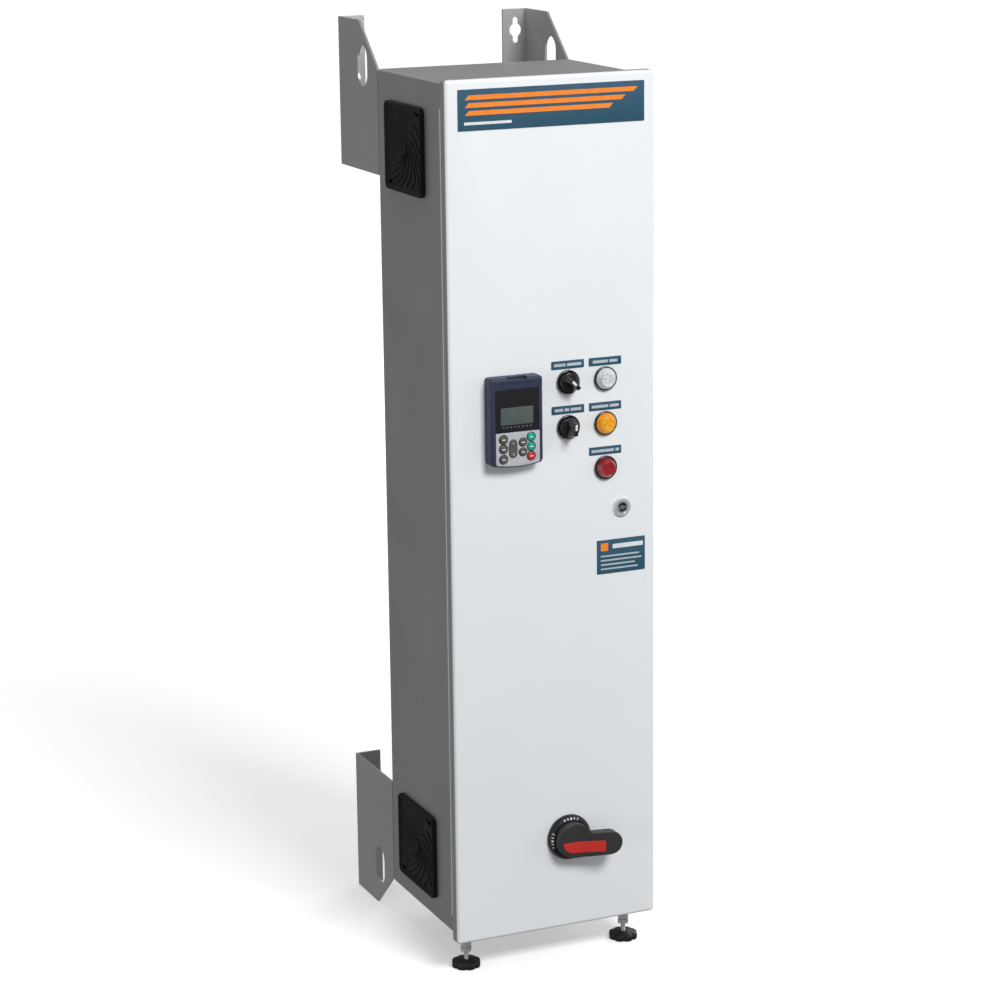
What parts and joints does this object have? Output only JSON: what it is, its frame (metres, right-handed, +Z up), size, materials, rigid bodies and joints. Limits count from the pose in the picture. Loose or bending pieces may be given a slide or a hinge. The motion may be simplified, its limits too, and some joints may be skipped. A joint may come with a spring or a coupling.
{
  "type": "variable frequency drive",
  "caption": "Tall wall-mounted enclosure with a hinged door, keypad, lamps, selector knobs and a rotary disconnect handle, which houses a variable frequency drive.",
  "frame": {"origin": "bottom centre of the whole object's box: the floor under the levelling pads and the bottom brackets' tips", "axes": "+Z up, +Y back towards the wall, +X to the right as seen from the front"},
  "size_m": [0.27, 0.3909, 1.155],
  "materials": {
    "cabinet_grey": "semi-gloss metallic grey powder coat",
    "door_white": "smooth satin white powder coat on the front, grey edges",
    "bracket_grey": "satin light grey powder coat",
    "zinc_steel": "zinc-plated steel",
    "galvanised_sheet": "galvanised sheet",
    "black_plastic": "fine-textured black plastic",
    "gasket_rubber": "foamed sealing strip",
    "filter_fleece": "pale filter fleece",
    "aluminium_fins": "extruded aluminium",
    "housing_plastic": "dark blue-grey moulded plastic",
    "cover_plastic": "dark moulded plastic",
    "switchgear_plastic": "pale grey moulded plastic",
    "transformer_iron": "varnished laminations",
    "terminal_plastic": "grey terminal plastic",
    "duct_plastic": "grey PVC",
    "reset_blue": "blue moulded plastic",
    "plate_blue": "printed slate-blue label",
    "keypad_navy": "fine-textured navy plastic",
    "window_black": "glossy black window with a grey-green display",
    "panel_silver": "silver membrane",
    "key_taupe": "taupe silicone keys",
    "key_green": "green silicone keys",
    "key_red": "red silicone key",
    "block_plastic": "pale moulded plastic",
    "lens_white": "frosted white lens",
    "lens_amber": "ribbed amber lens",
    "lens_red": "ribbed red lens"
  },
  "bodies": {
    "cabinet": {"enclosure_body": "cabinet_grey", "gland_plate": "cabinet_grey", "mounting_panel": "galvanised_sheet", "bracket_top_left": "bracket_grey", "bracket_top_right": "bracket_grey", "bracket_bottom_left": "bracket_grey", "bracket_bottom_right": "bracket_grey", "cabinet_fasteners": "zinc_steel", "hinge_frame_leaf": "cabinet_grey", "hinge_pin": "zinc_steel", "fan_cover_upper": "black_plastic", "fan_cover_lower": "black_plastic", "fan_frame": "black_plastic", "filter_mat": "filter_fleece", "foot_sleeves": "zinc_steel", "drive_housing": "housing_plastic", "drive_heatsink": "aluminium_fins", "drive_cover": "cover_plastic", "contactors": "switchgear_plastic", "overload_relay": "switchgear_plastic", "control_transformer": "transformer_iron", "terminal_block": "terminal_plastic", "din_rails": "galvanised_sheet", "wire_ducts": "duct_plastic", "disconnect_switch": "black_plastic"},
    "door_assembly": {"door": "door_white", "door_gasket": "gasket_rubber", "hinge_door_leaf": "cabinet_grey", "nameplate": "plate_blue", "legend_plates": "plate_blue", "keypad_body": "keypad_navy", "keypad_window": "window_black", "keypad_panel": "panel_silver", "control_bezels": "black_plastic", "contact_blocks": "block_plastic", "lens_white": "lens_white", "lens_amber": "lens_amber", "lens_red": "lens_red", "lock_housing": "zinc_steel", "handle_escutcheon": "black_plastic"},
    "fan_rotor_body": {"fan_rotor": "black_plastic"},
    "foot_left_body": {"foot_left": "black_plastic"},
    "foot_right_body": {"foot_right": "black_plastic"},
    "contactor_slider_drive_body": {"contactor_slider_drive": "black_plastic"},
    "contactor_slider_bypass_body": {"contactor_slider_bypass": "black_plastic"},
    "overload_reset_body": {"overload_reset": "reset_blue"},
    "disconnect_shaft_body": {"disconnect_shaft": "zinc_steel"},
    "key_left_top_body": {"key_left_top": "key_taupe"},
    "key_left_middle_body": {"key_left_middle": "key_taupe"},
    "key_left_bottom_body": {"key_left_bottom": "key_taupe"},
    "key_centre_top_body": {"key_centre_top": "key_taupe"},
    "key_centre_bottom_body": {"key_centre_bottom": "key_taupe"},
    "key_forward_body": {"key_forward": "key_green"},
    "key_reverse_body": {"key_reverse": "key_green"},
    "key_stop_body": {"key_stop": "key_red"},
    "key_rocker_body": {"key_rocker": "key_taupe"},
    "selector_knob_upper_body": {"selector_knob_upper": "black_plastic"},
    "selector_knob_lower_body": {"selector_knob_lower": "black_plastic"},
    "lock_core_body": {"lock_core": "zinc_steel"},
    "disconnect_handle_body": {"disconnect_handle": "black_plastic"}
  },
  "joints": [
    {"name": "door_hinge", "type": "hinge", "parent": "cabinet", "child": "door_assembly", "pos_m": [-0.1327, -0.1448, 0.575], "axis": [0, 0, -1], "range_deg": [0, 120]},
    {"name": "fan_spin", "type": "hinge", "parent": "cabinet", "child": "fan_rotor_body", "pos_m": [-0.115, -0.0265, 1.0125], "axis": [1, 0, 0], "continuous": true},
    {"name": "foot_left_height", "type": "slide", "parent": "cabinet", "child": "foot_left_body", "axis": [0, 0, -1], "range_m": [-0.006, 0.008]},
    {"name": "foot_right_height", "type": "slide", "parent": "cabinet", "child": "foot_right_body", "axis": [0, 0, -1], "range_m": [-0.006, 0.008]},
    {"name": "contactor_drive_stroke", "type": "slide", "parent": "cabinet", "child": "contactor_slider_drive_body", "axis": [0, 1, 0], "range_m": [0, 0.003], "stiffness_N_per_m": 400},
    {"name": "contactor_bypass_stroke", "type": "slide", "parent": "cabinet", "child": "contactor_slider_bypass_body", "axis": [0, 1, 0], "range_m": [0, 0.003], "stiffness_N_per_m": 400},
    {"name": "overload_reset_press", "type": "slide", "parent": "cabinet", "child": "overload_reset_body", "axis": [0, 1, 0], "range_m": [0, 0.002], "stiffness_N_per_m": 400},
    {"name": "disconnect_handle_turn", "type": "hinge", "parent": "door_assembly", "child": "disconnect_handle_body", "pos_m": [0.016, -0.1785, 0.1635], "axis": [0, 1, 0], "range_deg": [0, 90]},
    {"name": "disconnect_shaft_turn", "type": "hinge", "parent": "cabinet", "child": "disconnect_shaft_body", "pos_m": [0.016, 0.0075, 0.1635], "axis": [0, 1, 0], "range_deg": [0, 90]},
    {"name": "key_left_top_press", "type": "slide", "parent": "door_assembly", "child": "key_left_top_body", "axis": [0, 1, 0], "range_m": [0, 0.001], "stiffness_N_per_m": 300},
    {"name": "key_left_middle_press", "type": "slide", "parent": "door_assembly", "child": "key_left_middle_body", "axis": [0, 1, 0], "range_m": [0, 0.001], "stiffness_N_per_m": 300},
    {"name": "key_left_bottom_press", "type": "slide", "parent": "door_assembly", "child": "key_left_bottom_body", "axis": [0, 1, 0], "range_m": [0, 0.001], "stiffness_N_per_m": 300},
    {"name": "key_centre_top_press", "type": "slide", "parent": "door_assembly", "child": "key_centre_top_body", "axis": [0, 1, 0], "range_m": [0, 0.001], "stiffness_N_per_m": 300},
    {"name": "key_centre_bottom_press", "type": "slide", "parent": "door_assembly", "child": "key_centre_bottom_body", "axis": [0, 1, 0], "range_m": [0, 0.001], "stiffness_N_per_m": 300},
    {"name": "key_forward_press", "type": "slide", "parent": "door_assembly", "child": "key_forward_body", "axis": [0, 1, 0], "range_m": [0, 0.001], "stiffness_N_per_m": 300},
    {"name": "key_reverse_press", "type": "slide", "parent": "door_assembly", "child": "key_reverse_body", "axis": [0, 1, 0], "range_m": [0, 0.001], "stiffness_N_per_m": 300},
    {"name": "key_stop_press", "type": "slide", "parent": "door_assembly", "child": "key_stop_body", "axis": [0, 1, 0], "range_m": [0, 0.001], "stiffness_N_per_m": 300},
    {"name": "key_rocker_tilt", "type": "hinge", "parent": "door_assembly", "child": "key_rocker_body", "pos_m": [-0.0616, -0.177, 0.6685], "axis": [1, 0, 0], "range_deg": [-4, 4], "stiffness_Nm_per_rad": 0.05},
    {"name": "selector_upper_turn", "type": "hinge", "parent": "door_assembly", "child": "selector_knob_upper_body", "pos_m": [0.0185, -0.1725, 0.739], "axis": [0, 1, 0], "range_deg": [0, 90]},
    {"name": "selector_lower_turn", "type": "hinge", "parent": "door_assembly", "child": "selector_knob_lower_body", "pos_m": [0.0185, -0.1725, 0.684], "axis": [0, 1, 0], "range_deg": [-45, 45]},
    {"name": "lock_turn", "type": "hinge", "parent": "door_assembly", "child": "lock_core_body", "pos_m": [0.09, -0.1525, 0.577], "axis": [0, 1, 0], "range_deg": [0, 90]}
  ],
  "couplings": [
    {"joint": "disconnect_shaft_turn", "follows": "disconnect_handle_turn", "ratio": 1}
  ]
}
